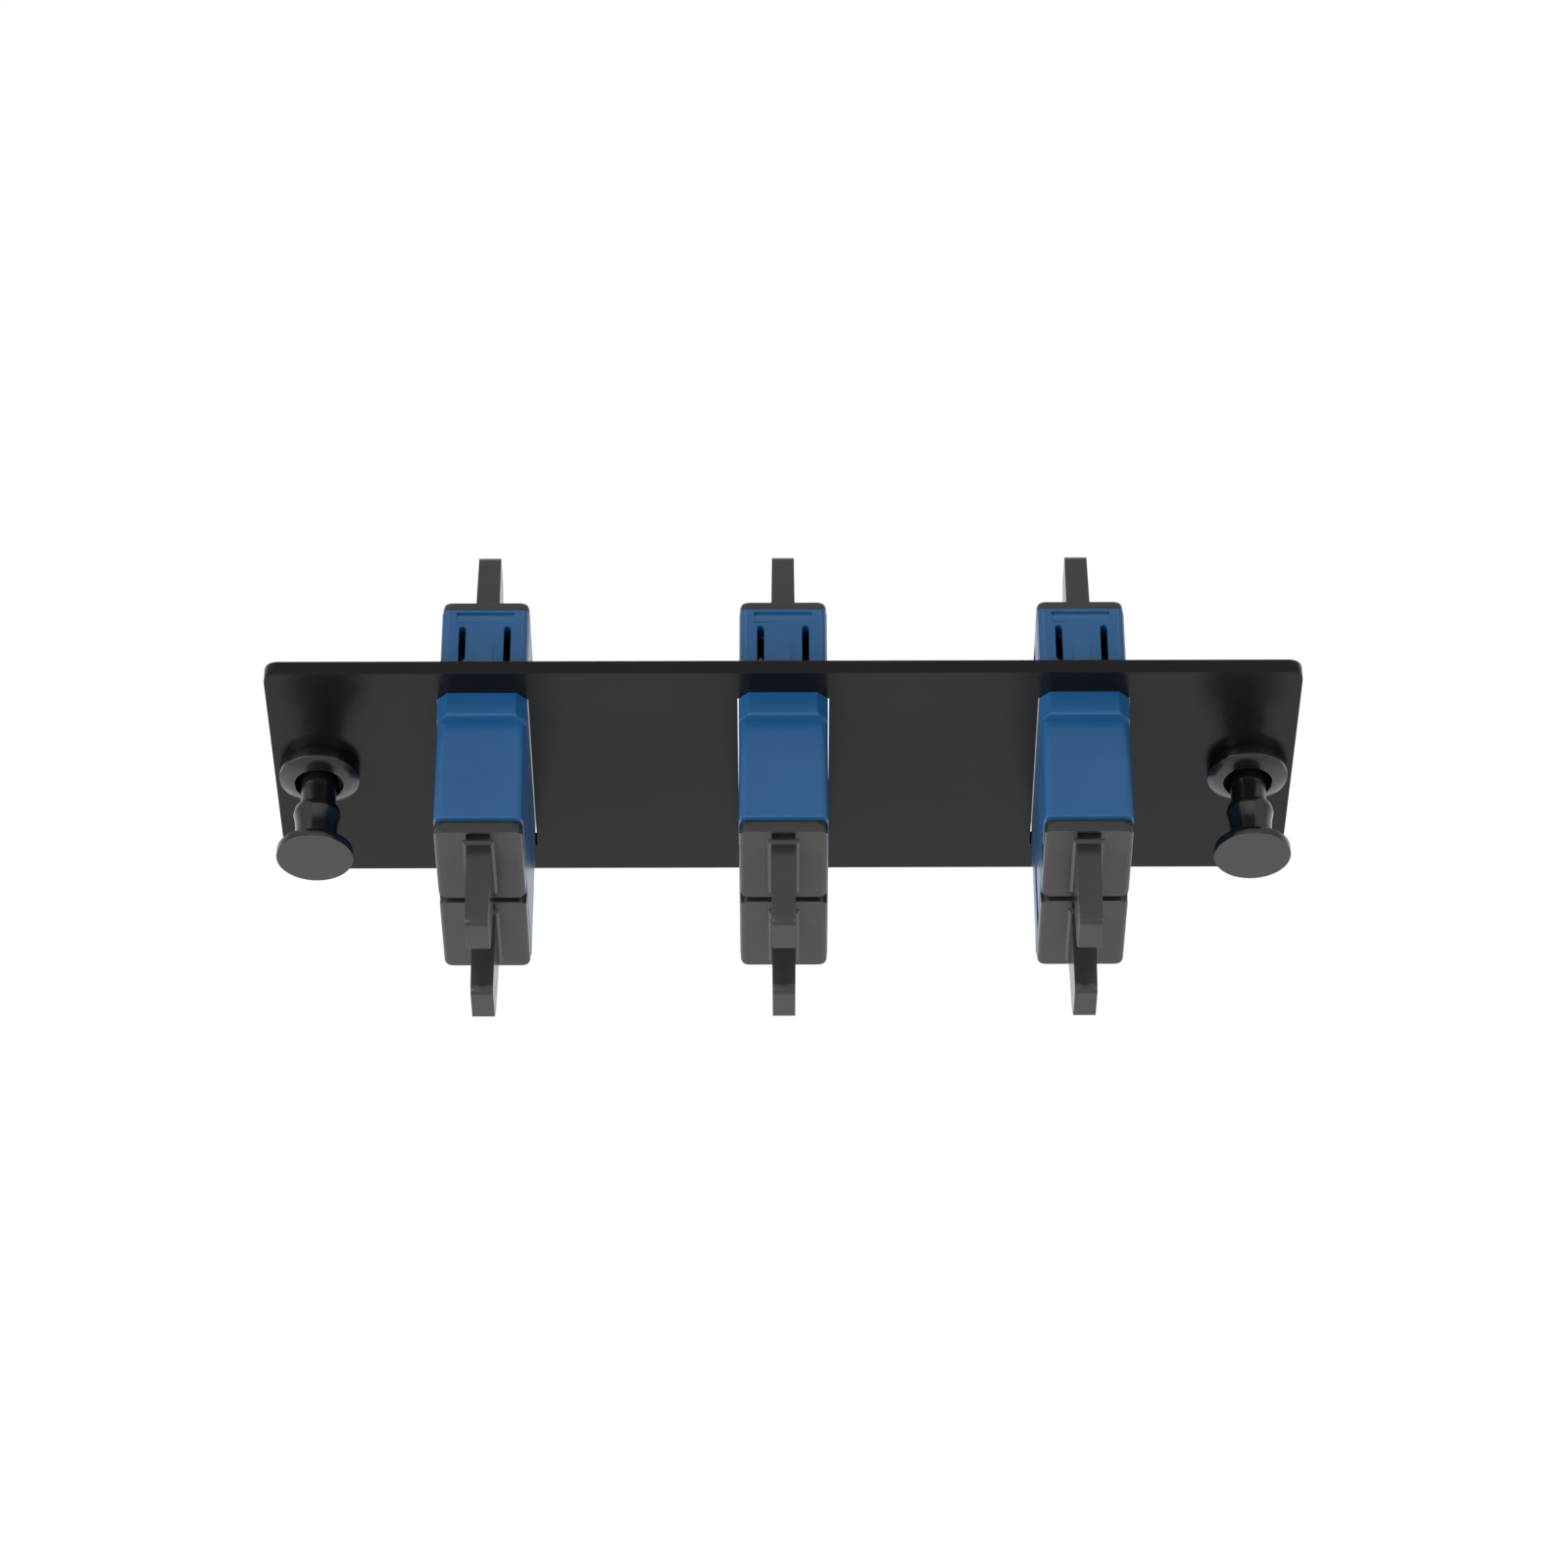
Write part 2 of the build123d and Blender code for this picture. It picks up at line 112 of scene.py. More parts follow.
class NodeBuilder:
    """Short calls for making and joining the nodes of one tree."""

    def __init__(self, tree: bpy.types.NodeTree) -> None:
        """Start on a tree.

        Args:
            tree: The node tree that nodes are added to.
        """
        self.tree = tree

    def add(self, kind: str, **settings: object) -> bpy.types.Node:
        """Add a node.

        Args:
            kind: The node's type name.
            **settings: Properties of the node and their values.

        Returns:
            The new node.
        """
        node = self.tree.nodes.new(kind)
        for name, value in settings.items():
            setattr(node, name, value)
        return node

    def join(self, output: bpy.types.NodeSocket, target: bpy.types.NodeSocket) -> None:
        """Link an output to an input.

        Args:
            output: The socket that gives the value.
            target: The socket that takes it.
        """
        self.tree.links.new(output, target)

    def maths(self, operation: str, first: object, second: object) -> bpy.types.NodeSocket:
        """Add a Math node.

        Args:
            operation: The operation's name.
            first: A socket or a number.
            second: A socket or a number.

        Returns:
            The node's output.
        """
        node = self.add("ShaderNodeMath", operation=operation)
        for socket, value in zip(node.inputs, (first, second)):
            if isinstance(value, bpy.types.NodeSocket):
                self.join(value, socket)
            else:
                socket.default_value = value
        return node.outputs[0]

    def spread(self, value: bpy.types.NodeSocket, low: float, high: float) -> bpy.types.NodeSocket:
        """Map a mask from 0 and 1 to two values.

        Args:
            value: The mask.
            low: The value at 0.
            high: The value at 1.

        Returns:
            The mapped value.
        """
        node = self.add("ShaderNodeMapRange")
        self.join(value, node.inputs["Value"])
        node.inputs["To Min"].default_value = low
        node.inputs["To Max"].default_value = high
        return node.outputs["Result"]


class SurfaceGroup:
    """Shader group shared by every finish: a slow tone mask and a fine grain height."""

    NAME = "SurfaceVariation"
    INPUTS = (("Tone Size", 12.0), ("Grain Size", 0.15), ("Streak", 1.0))
    NOISES = (("Tone Size", "Tone", 2.0), ("Grain Size", "Grain", 3.0))
    NOISE_LOW = 0.3
    NOISE_HIGH = 0.7

    @classmethod
    def tree(cls) -> bpy.types.NodeTree:
        """Build the group once.

        Returns:
            The shared node group.
        """
        found = bpy.data.node_groups.get(cls.NAME)
        if found:
            return found
        tree = bpy.data.node_groups.new(cls.NAME, "ShaderNodeTree")
        sockets, number = tree.interface, "NodeSocketFloat"
        for name, value in cls.INPUTS:
            socket = sockets.new_socket(name=name, in_out="INPUT", socket_type=number)
            socket.default_value = value
        for _, name, _ in cls.NOISES:
            sockets.new_socket(name=name, in_out="OUTPUT", socket_type=number)
        build = NodeBuilder(tree)
        inputs = build.add("NodeGroupInput")
        outputs = build.add("NodeGroupOutput")
        place = build.add("ShaderNodeTexCoord")
        stretch = build.add("ShaderNodeMapping")
        build.join(place.outputs["Object"], stretch.inputs["Vector"])
        scale = build.add("ShaderNodeCombineXYZ")
        scale.inputs["X"].default_value = 1.0
        scale.inputs["Y"].default_value = 1.0
        build.join(inputs.outputs["Streak"], scale.inputs["Z"])
        build.join(scale.outputs["Vector"], stretch.inputs["Scale"])
        for size, target, detail in cls.NOISES:
            noise = build.add("ShaderNodeTexNoise")
            build.join(stretch.outputs["Vector"], noise.inputs["Vector"])
            per_metre = build.maths("DIVIDE", 1.0 / MM, inputs.outputs[size])
            build.join(per_metre, noise.inputs["Scale"])
            noise.inputs["Detail"].default_value = detail
            sharpen = build.add("ShaderNodeMapRange", interpolation_type="SMOOTHSTEP")
            build.join(noise.outputs["Fac"], sharpen.inputs["Value"])
            sharpen.inputs["From Min"].default_value = cls.NOISE_LOW
            sharpen.inputs["From Max"].default_value = cls.NOISE_HIGH
            build.join(sharpen.outputs["Result"], outputs.inputs[target])
        return tree


@dataclass(frozen=True)
class Finish:
    """One finish: two close tones, gloss, mould grain and the record's slot.

    Sizes are in millimetres. The tones are linear colours.
    """

    name: str
    slot: str
    dark: Colour
    light: Colour
    smooth: float
    rough: float
    tone_size: float
    grain_size: float
    grain_depth: float
    streak: float = 1.0
    specular: float = 0.5

    def material(self) -> bpy.types.Material:
        """Build the material once.

        Returns:
            The node material of this finish.
        """
        found = bpy.data.materials.get(self.name)
        if found:
            return found
        material = bpy.data.materials.new(self.name)
        material.use_nodes = True
        material.node_tree.nodes.clear()
        build = NodeBuilder(material.node_tree)
        output = build.add("ShaderNodeOutputMaterial")
        shader = build.add("ShaderNodeBsdfPrincipled")
        build.join(shader.outputs["BSDF"], output.inputs["Surface"])
        surface = build.add("ShaderNodeGroup", node_tree=SurfaceGroup.tree())
        surface.inputs["Tone Size"].default_value = self.tone_size
        surface.inputs["Grain Size"].default_value = self.grain_size
        surface.inputs["Streak"].default_value = self.streak
        tone = build.add("ShaderNodeMix", data_type="RGBA")
        build.join(surface.outputs["Tone"], tone.inputs["Factor"])
        tone.inputs["A"].default_value = (*self.dark, 1.0)
        tone.inputs["B"].default_value = (*self.light, 1.0)
        build.join(tone.outputs["Result"], shader.inputs["Base Color"])
        mixed = build.maths("ADD", surface.outputs["Tone"], surface.outputs["Grain"])
        halved = build.maths("MULTIPLY", mixed, 0.5)
        build.join(build.spread(halved, self.smooth, self.rough), shader.inputs["Roughness"])
        bump = build.add("ShaderNodeBump")
        bump.inputs["Distance"].default_value = self.grain_depth * MM
        bump.inputs["Strength"].default_value = 1.0
        build.join(surface.outputs["Grain"], bump.inputs["Height"])
        build.join(bump.outputs["Normal"], shader.inputs["Normal"])
        shader.inputs["Specular IOR Level"].default_value = self.specular
        return material


POWDER_COAT = Finish(
    "PowderCoat", "sheet", (0.0044, 0.0044, 0.0047), (0.0056, 0.0056, 0.0060),
    smooth=0.22, rough=0.28, tone_size=14.0, grain_size=0.14, grain_depth=0.0003, specular=0.21,
)
BLUE_MOULDING = Finish(
    "BlueMoulding", "adapter_housing", (0.0105, 0.084, 0.218), (0.0125, 0.092, 0.235),
    smooth=0.28, rough=0.34, tone_size=9.0, grain_size=0.12, grain_depth=0.0003,
)
CAP_MOULDING = Finish(
    "CapMoulding", "dust_cap", (0.0235, 0.0235, 0.0239), (0.027, 0.027, 0.0274),
    smooth=0.22, rough=0.27, tone_size=6.0, grain_size=0.12, grain_depth=0.0002, specular=0.53,
)
LATCH_MOULDING = Finish(
    "LatchMoulding", "latch", (0.006, 0.006, 0.0065), (0.008, 0.008, 0.0085),
    smooth=0.16, rough=0.21, tone_size=5.0, grain_size=0.15, grain_depth=0.0002, specular=0.72,
)
HOLDER_MOULDING = Finish(
    "HolderMoulding", "holder", (0.74, 0.72, 0.66), (0.80, 0.78, 0.72),
    smooth=0.42, rough=0.55, tone_size=5.0, grain_size=0.15, grain_depth=0.002,
)
GROUND_CERAMIC = Finish(
    "GroundCeramic", "sleeve", (0.83, 0.83, 0.80), (0.88, 0.88, 0.86),
    smooth=0.14, rough=0.24, tone_size=3.0, grain_size=0.1, grain_depth=0.0006, streak=6.0,
)


@dataclass(frozen=True)
class EdgeSoftener:
    """Turns a node's loose triangles into a clean shell with small rounded edges.

    Widths are in millimetres and angles in degrees.
    """

    width: float
    segments: int = 2
    edge_angle: float = 32.0
    flat_angle: float = 1.0
    weld: float = 0.002

    def shell(self, node: str, offset: Vector) -> bpy.types.Mesh:
        """Copy a node's mesh, weld it, merge its flat faces and move it.

        Args:
            node: The node's name.
            offset: How far the copy is moved, in metres.

        Returns:
            The new mesh.
        """
        shell = bmesh.new()
        shell.from_mesh(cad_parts[node].data)
        bmesh.ops.remove_doubles(shell, verts=shell.verts, dist=self.weld * MM)
        bmesh.ops.dissolve_limit(
            shell, angle_limit=math.radians(self.flat_angle), verts=shell.verts, edges=shell.edges
        )
        bmesh.ops.translate(shell, verts=shell.verts, vec=offset)
        bmesh.ops.recalc_face_normals(shell, faces=shell.faces)
        mesh = bpy.data.meshes.new(f"{node}_shell")
        shell.to_mesh(mesh)
        shell.free()
        return mesh

    def soften(self, mesh: bpy.types.Mesh, name: str) -> bpy.types.Mesh:
        """Round the sharp edges of a mesh.

        Args:
            mesh: The welded shell.
            name: A name for the result.

        Returns:
            A plain mesh with rounded edges and smooth shading.
        """
        self.mark_edges(mesh)
        holder = bpy.data.objects.new(name, mesh)
        bpy.context.scene.collection.objects.link(holder)
        bevel = holder.modifiers.new("EdgeRound", "BEVEL")
        bevel.width = self.width * MM
        bevel.segments = self.segments
        bevel.limit_method = "WEIGHT"
        bevel.use_clamp_overlap = True
        weighted = holder.modifiers.new("FaceShading", "WEIGHTED_NORMAL")
        weighted.keep_sharp = True
        softened = evaluated_mesh(holder)
        bpy.data.objects.remove(holder)
        softened.name = name
        return softened

    def mark_edges(self, mesh: bpy.types.Mesh) -> None:
        """Mark the outer corners that are rounded and the inner corners that stay sharp.

        Args:
            mesh: The welded shell.
        """
        shell = bmesh.new()
        shell.from_mesh(mesh)
        weight = shell.edges.layers.float.new("bevel_weight_edge")
        limit = math.radians(self.edge_angle)
        for polygon in shell.faces:
            polygon.smooth = True
        for edge in shell.edges:
            turn = edge.calc_face_angle_signed(0.0)
            edge[weight] = 1.0 if turn > limit else 0.0
            edge.smooth = turn > -limit
        shell.to_mesh(mesh)
        shell.free()


@dataclass(frozen=True)
class Turning:
    """A piece turned about an axis along Y.

    The profile is a list of (y, radius) points in millimetres, y from the piece's front.
    """

    profile: tuple[tuple[float, float], ...]
    segments: int = 96

    def mesh(self, name: str, front: Vector, closed: bool) -> bpy.types.Mesh:
        """Turn the profile into a closed shell.

        Args:
            name: A name for the mesh.
            front: Centre of the piece's front, in metres.
            closed: Whether the profile is a loop that stays clear of the axis.

        Returns:
            The new mesh.
        """
        shell = bmesh.new()
        rings = [self.ring(shell, front, y * MM, radius * MM) for y, radius in self.profile]
        pairs = list(zip(rings, rings[1:]))
        if closed:
            pairs.append((rings[-1], rings[0]))
        for ahead, behind in pairs:
            self.join_rings(shell, ahead, behind)
        bmesh.ops.recalc_face_normals(shell, faces=shell.faces)
        mesh = bpy.data.meshes.new(name)
        shell.to_mesh(mesh)
        shell.free()
        return mesh

    def ring(
        self, shell: bmesh.types.BMesh, front: Vector, y: float, radius: float
    ) -> list[bmesh.types.BMVert]:
        """Add one ring of points, or a single point on the axis.

        Args:
            shell: The mesh in the making.
            front: Centre of the piece's front.
            y: Distance behind the front.
            radius: Radius of the ring.

        Returns:
            The points, the same one repeated where the ring is on the axis.
        """
        if radius == 0:
            return [shell.verts.new(front + Vector((0, y, 0)))] * self.segments
        step = 2 * math.pi / self.segments
        turns = [i * step for i in range(self.segments)]
        return [
            shell.verts.new(front + Vector((radius * math.cos(turn), y, radius * math.sin(turn))))
            for turn in turns
        ]

    def join_rings(
        self,
        shell: bmesh.types.BMesh,
        ahead: list[bmesh.types.BMVert],
        behind: list[bmesh.types.BMVert],
    ) -> None:
        """Add the faces between two rings.

        Args:
            shell: The mesh in the making.
            ahead: Points of the first ring.
            behind: Points of the second ring.
        """
        for i in range(self.segments):
            j = (i + 1) % self.segments
            corners = dict.fromkeys((ahead[i], ahead[j], behind[j], behind[i]))
            shell.faces.new(list(corners))


def evaluated_mesh(holder: bpy.types.Object) -> bpy.types.Mesh:
    """Apply an object's modifiers.

    Args:
        holder: The object with live modifiers.

    Returns:
        A plain mesh of the result.
    """
    graph = bpy.context.evaluated_depsgraph_get()
    return bpy.data.meshes.new_from_object(holder.evaluated_get(graph))


def seat_piece(
    name: str, mesh: bpy.types.Mesh, node: str, body: str, finish: Finish
) -> bpy.types.Object:
    """Make a finished piece that stands for a node and rides on a body.

    Args:
        name: The piece's name.
        mesh: Its mesh, in place.
        node: The node that it replaces.
        body: The body that it rides on.
        finish: Its finish.

    Returns:
        The piece.
    """
    piece = bpy.data.objects.new(name, mesh)
    bpy.context.scene.collection.objects.link(piece)
    mesh.materials.clear()
    mesh.materials.append(finish.material())
    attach(piece, body)
    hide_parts(node)
    return piece


def dress_node(node: str, finish: Finish) -> None:
    """Give a node that stays as it is its finish.

    Args:
        node: The node's name.
        finish: The finish of all its faces.
    """
    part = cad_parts[node]
    part.data.materials.clear()
    part.data.materials.append(finish.material())
    for polygon in part.data.polygons:
        polygon.material_index = 0


@dataclass(frozen=True)
class PortGrid:
    """Where the ports are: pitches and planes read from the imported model."""

    adapter_pitch: float
    port_pitch: float
    mating_y: float
    half_length: float

    @classmethod
    def from_frame(cls) -> "PortGrid":
        """Read the grid from the sleeves and the housings.

        Returns:
            The grid of this panel.
        """
        upper = cls.centre("sleeve_middle_upper")
        lower = cls.centre("sleeve_middle_lower")
        right = cls.centre("sleeve_right_upper")
        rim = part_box("housing_front_middle")[0].y
        return cls(right.x - upper.x, upper.z - lower.z, upper.y, upper.y - rim)

    @staticmethod
    def centre(node: str) -> Vector:
        """Centre of a node's box.

        Args:
            node: The node's name.

        Returns:
            The centre, in metres.
        """
        low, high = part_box(node)
        return (low + high) / 2


class GridRepeat:
    """Geometry Nodes tree that seats one template at one place of the port grid."""

    NAME = "SeatOnPortGrid"
    SIZES = ("Adapter Pitch", "Port Pitch", "Mating Plane", "Reach", "Column", "Row", "Turn")

    @classmethod
    def tree(cls) -> bpy.types.NodeTree:
        """Build the tree once.

        Returns:
            The shared tree.
        """
        found = bpy.data.node_groups.get(cls.NAME)
        if found:
            return found
        tree = bpy.data.node_groups.new(cls.NAME, "GeometryNodeTree")
        tree.is_modifier = True
        sockets = tree.interface
        sockets.new_socket(name="Geometry", in_out="OUTPUT", socket_type="NodeSocketGeometry")
        sockets.new_socket(name="Geometry", in_out="INPUT", socket_type="NodeSocketGeometry")
        sockets.new_socket(name="Template", in_out="INPUT", socket_type="NodeSocketObject")
        sockets.new_socket(name="Finish", in_out="INPUT", socket_type="NodeSocketMaterial")
        for name in cls.SIZES:
            sockets.new_socket(name=name, in_out="INPUT", socket_type="NodeSocketFloat")
        build = NodeBuilder(tree)
        given = build.add("NodeGroupInput").outputs
        output = build.add("NodeGroupOutput")
        place = build.add("ShaderNodeCombineXYZ")
        across = build.maths("MULTIPLY", given["Column"], given["Adapter Pitch"])
        build.join(across, place.inputs["X"])
        outward = build.maths("MULTIPLY", build.maths("COSINE", given["Turn"], 0.0), given["Reach"])
        build.join(build.maths("SUBTRACT", given["Mating Plane"], outward), place.inputs["Y"])
        build.join(build.maths("MULTIPLY", given["Row"], given["Port Pitch"]), place.inputs["Z"])
        point = build.add("GeometryNodePoints")
        build.join(place.outputs["Vector"], point.inputs["Position"])
        template = build.add("GeometryNodeObjectInfo", transform_space="ORIGINAL")
        build.join(given["Template"], template.inputs["Object"])
        turn = build.add("ShaderNodeCombineXYZ")
        build.join(given["Turn"], turn.inputs["Z"])
        copies = build.add("GeometryNodeInstanceOnPoints")
        build.join(point.outputs[0], copies.inputs["Points"])
        build.join(template.outputs["Geometry"], copies.inputs["Instance"])
        build.join(turn.outputs["Vector"], copies.inputs["Rotation"])
        real = build.add("GeometryNodeRealizeInstances")
        build.join(copies.outputs["Instances"], real.inputs["Geometry"])
        finish = build.add("GeometryNodeSetMaterial")
        build.join(real.outputs["Geometry"], finish.inputs["Geometry"])
        build.join(given["Finish"], finish.inputs["Material"])
        build.join(finish.outputs["Geometry"], output.inputs["Geometry"])
        return tree

    @classmethod
    def place(
        cls, template: bpy.types.Object, finish: Finish, name: str, **sizes: float
    ) -> bpy.types.Mesh:
        """Seat the template and turn the result into a plain mesh.

        Args:
            template: The object that is repeated.
            finish: The finish that the tree sets.
            name: A name for the mesh.
            **sizes: A value for each of the tree's sizes, spaces written as underscores.

        Returns:
            The seated mesh.
        """
        tree = cls.tree()
        carrier = bpy.data.objects.new(name, bpy.data.meshes.new(name))
        modifier = carrier.modifiers.new("Seat", "NODES")
        modifier.node_group = tree
        values = {key.replace("_", " "): value for key, value in sizes.items()}
        values.update({"Template": template, "Finish": finish.material()})
        for item in tree.interface.items_tree:
            if item.in_out == "INPUT" and item.name in values:
                modifier[item.identifier] = values[item.name]
        bpy.context.scene.collection.objects.link(carrier)
        mesh = evaluated_mesh(carrier)
        bpy.data.objects.remove(carrier)
        mesh.name = name
        return mesh


def grid_place(
    grid: PortGrid, face: Face, column: Column, row_share: float, reach: float
) -> dict[str, float]:
    """Values of the seating tree for one place.

    Args:
        grid: The port grid.
        face: The side that the piece faces.
        column: The adapter.
        row_share: The port, as a share of the port pitch from the adapter's middle.
        reach: Distance of the piece's own origin from the mating plane.

    Returns:
        The tree's sizes by name.
    """
    return {
        "Adapter_Pitch": grid.adapter_pitch,
        "Port_Pitch": grid.port_pitch,
        "Mating_Plane": grid.mating_y,
        "Reach": reach,
        "Column": float(column.value[1]),
        "Row": row_share,
        "Turn": face.turn,
    }


@dataclass
class Sheet:
    """The coated sheet, with its cut edges just broken."""

    softener: EdgeSoftener = EdgeSoftener(width=0.03)
    finish: Finish = POWDER_COAT

    def build(self) -> list[bpy.types.Object]:
        """Make the sheet.

        Returns:
            The sheet as a list of one piece.
        """
        shell = self.softener.shell("panel_plate", Vector())
        mesh = self.softener.soften(shell, "sheet")
        return [seat_piece("sheet", mesh, "panel_plate", "panel", self.finish)]


@dataclass
class AdapterHousings:
    """The six blue housing halves."""

    grid: PortGrid
    softener: EdgeSoftener = EdgeSoftener(width=0.05)
    finish: Finish = BLUE_MOULDING
    moulded_round: float = 0.48
    seen_round: float = 0.2
    front_setback: float = 0.3
    rear_setback: float = 0.12
    flange_round: float = 0.25
    flange_round_steps: int = 4

    def build(self) -> list[bpy.types.Object]:
        """Make every housing half from one template for each face.

        Returns:
            The six pieces.
        """
        pieces = []
        for face in Face:
            source = f"housing_{face.label}_middle"
            shell = self.softener.shell(source, Vector((0, -self.grid.mating_y, 0)))
            self.tighten_rim(shell, face)
            if face is Face.FRONT:
                self.round_flange(shell)
            softened = self.softener.soften(shell, source)
            template = bpy.data.objects.new(source + "_template", softened)
            bpy.context.scene.collection.objects.link(template)
            for column in Column:
                node = f"housing_{face.label}_{column.value[0]}"
                sizes = grid_place(self.grid, Face.FRONT, column, 0.0, 0.0)
                mesh = GridRepeat.place(template, self.finish, f"{node}_dressed", **sizes)
                pieces.append(seat_piece(f"{node}_dressed", mesh, node, "panel", self.finish))
            bpy.data.objects.remove(template)
        return pieces

    def tighten_rim(self, shell: bpy.types.Mesh, face: Face) -> None:
        """Set the open rim back a little and make the round along its top and bottom smaller.

        Args:
            shell: A housing half, its mating plane at Y = 0.
            face: The side that its rim is on.
        """
        outward = 1.0 if face is Face.REAR else -1.0
        setback = self.rear_setback if face is Face.REAR else self.front_setback
        rim = max(outward * vertex.co.y for vertex in shell.vertices)
        top = max(abs(vertex.co.z) for vertex in shell.vertices if outward * vertex.co.y > rim - MM)
        old, share = self.moulded_round * MM, self.seen_round / self.moulded_round
        for vertex in shell.vertices:
            depth = rim - outward * vertex.co.y
            if depth > old + NEAR:
                continue
            vertex.co.y = outward * (rim - setback * MM - depth * share)
            below = top - abs(vertex.co.z)
            if below < old:
                vertex.co.z = math.copysign(top - below * share, vertex.co.z)


    def round_flange(self, mesh: bpy.types.Mesh) -> None:
        """Round the front edge along the flange's top and bottom.

        Args:
            mesh: The front housing half.
        """
        shell = bmesh.new()
        shell.from_mesh(mesh)
        top = max(abs(vertex.co.z) for vertex in shell.verts)
        outer = {vertex for vertex in shell.verts if abs(vertex.co.z) > top - NEAR}
        front = min(vertex.co.y for vertex in outer)
        edges = [
            edge for edge in shell.edges
            if all(end in outer and end.co.y < front + NEAR for end in edge.verts)
        ]
        bmesh.ops.bevel(
            shell, geom=edges, offset=self.flange_round * MM, offset_type="OFFSET",
            segments=self.flange_round_steps, profile=0.5, affect="EDGES", clamp_overlap=True,
        )
        LOG.info("flange: %d edges rounded", len(edges))
        shell.to_mesh(mesh)
        shell.free()


@dataclass
class DustCaps:
    """The twelve finned dust caps, each on a body of its own."""

    grid: PortGrid
    softener: EdgeSoftener = EdgeSoftener(width=0.04)
    finish: Finish = CAP_MOULDING
    head_widening: float = 0.15
    plug_half_width: float = 3.64
    front_setback: float = 0.2
    rear_setback: float = 0.1

    def build(self) -> list[bpy.types.Object]:
        """Make every cap from one template for each face.

        Returns:
            The twelve pieces.
        """
        source = "cap_front_middle_upper"
        to_port = Vector((0, self.grid.half_length - self.grid.mating_y, -self.grid.port_pitch / 2))
        pieces = []
        for face in Face:
            shell = self.softener.shell(source, to_port)
            self.fit_head(shell, face)
            template = bpy.data.objects.new("cap_template", self.softener.soften(shell, source))
            bpy.context.scene.collection.objects.link(template)
            for column in Column:
                for row in Row:
                    node = f"cap_{face.label}_{column.value[0]}_{row.value[0]}"
                    sizes = grid_place(self.grid, face, column, row.value[1], self.grid.half_length)
                    mesh = GridRepeat.place(template, self.finish, f"{node}_dressed", **sizes)
                    pieces.append(seat_piece(f"{node}_dressed", mesh, node, node, self.finish))
            bpy.data.objects.remove(template)
        return pieces

    def fit_head(self, shell: bpy.types.Mesh, face: Face) -> None:
        """Widen the head to the housing's full width and take its back to the rim.

        Args:
            shell: The cap, the plane of its head's back at Y = 0.
            face: The side that the cap is seated on.
        """
        setback = self.rear_setback if face is Face.REAR else self.front_setback
        fixed = self.plug_half_width * MM
        side = max(abs(vertex.co.x) for vertex in shell.vertices)
        for vertex in shell.vertices:
            share = max(0.0, (abs(vertex.co.x) - fixed) / (side - fixed))
            vertex.co.x += math.copysign(share * self.head_widening * MM, vertex.co.x)
            if abs(vertex.co.y) < NEAR:
                vertex.co.y += setback * MM


@dataclass(frozen=True)
class PlungerShape:
    """Sizes of a latch plunger in millimetres, lengths from its front."""

    head_r: float = 4.15
    head_back: float = 0.95
    waist_r: float = 2.275
    flare_start: float = 3.3
    ring_front: float = 5.66
    ring_r: float = 2.58
    ring_back: float = 6.33
    ring_back_r: float = 2.45
    shoulder_back: float = 6.68
    pin_r: float = 1.93
    barb_front: float = 15.98
    barb_rise: float = 0.3
    length: float = 17.58
    flare_steps: int = 12

    def turning(self) -> Turning:
        """Profile from the head to the barb's tip.

        Returns:
            The turned shape, its waist flaring out along an arc to the stop ring.
        """
        run, rise = self.ring_front - self.flare_start, self.ring_r - self.waist_r
        bend = (run * run + rise * rise) / (2 * rise)
        reaches = [run * (i + 1) / self.flare_steps for i in range(self.flare_steps)]
        flare = [
            (self.flare_start + reach, self.waist_r + bend - math.sqrt(bend * bend - reach * reach))
            for reach in reaches
        ]
        return Turning((
            (0.0, 0.0),
            (0.0, self.head_r),
            (self.head_back, self.head_r),
            (self.head_back, self.waist_r),
            (self.flare_start, self.waist_r),
            *flare,
            (self.ring_back, self.ring_back_r),
            (self.shoulder_back, self.pin_r),
            (self.barb_front, self.pin_r),
            (self.barb_front, self.pin_r + self.barb_rise),
            (self.length, self.pin_r - self.barb_rise),
            (self.length, 0.0),
        ))


@dataclass(frozen=True)
class GrommetShape:
    """Sizes of a latch grommet in millimetres, lengths from the rim of its collar.

    The collar's face is a low cone that stands proud of the rim.
    """

    collar_r: float = 4.37
    collar_back: float = 1.42
    cone_rise: float = 0.76
    ridge_r: float = 2.72
    mouth_depth: float = 0.12
    well_r: float = 2.62
    well_floor: float = 1.45
    bore_r: float = 1.98
    neck_r: float = 3.15
    bead_front: float = 3.17
    bead_r: float = 3.45
    bead_back: float = 3.87
    leg_r: float = 3.1
    cavity_front: float = 5.32
    cavity_r: float = 2.3
    taper_start: float = 9.32
    tip_r: float = 2.6
    length: float = 10.92
    slit: float = 0.9

    def turning(self) -> Turning:
        """Closed profile: the outside from the cone to the legs, then back through the bore.

        Returns:
            The turned shape, before its slits are cut.
        """
        return Turning((
            (self.mouth_depth - self.cone_rise, self.well_r),
            (-self.cone_rise, self.ridge_r),
            (0.0, self.collar_r),
            (self.collar_back, self.collar_r),
            (self.collar_back, self.neck_r),
            (self.bead_front, self.neck_r),
            (self.bead_front, self.bead_r),
            (self.bead_back, self.leg_r),
            (self.taper_start, self.leg_r),
            (self.length, self.tip_r),
            (self.length, self.cavity_r),
            (self.cavity_front, self.cavity_r),
            (self.cavity_front, self.bore_r),
            (self.well_floor, self.bore_r),
            (self.well_floor, self.well_r),
        ))


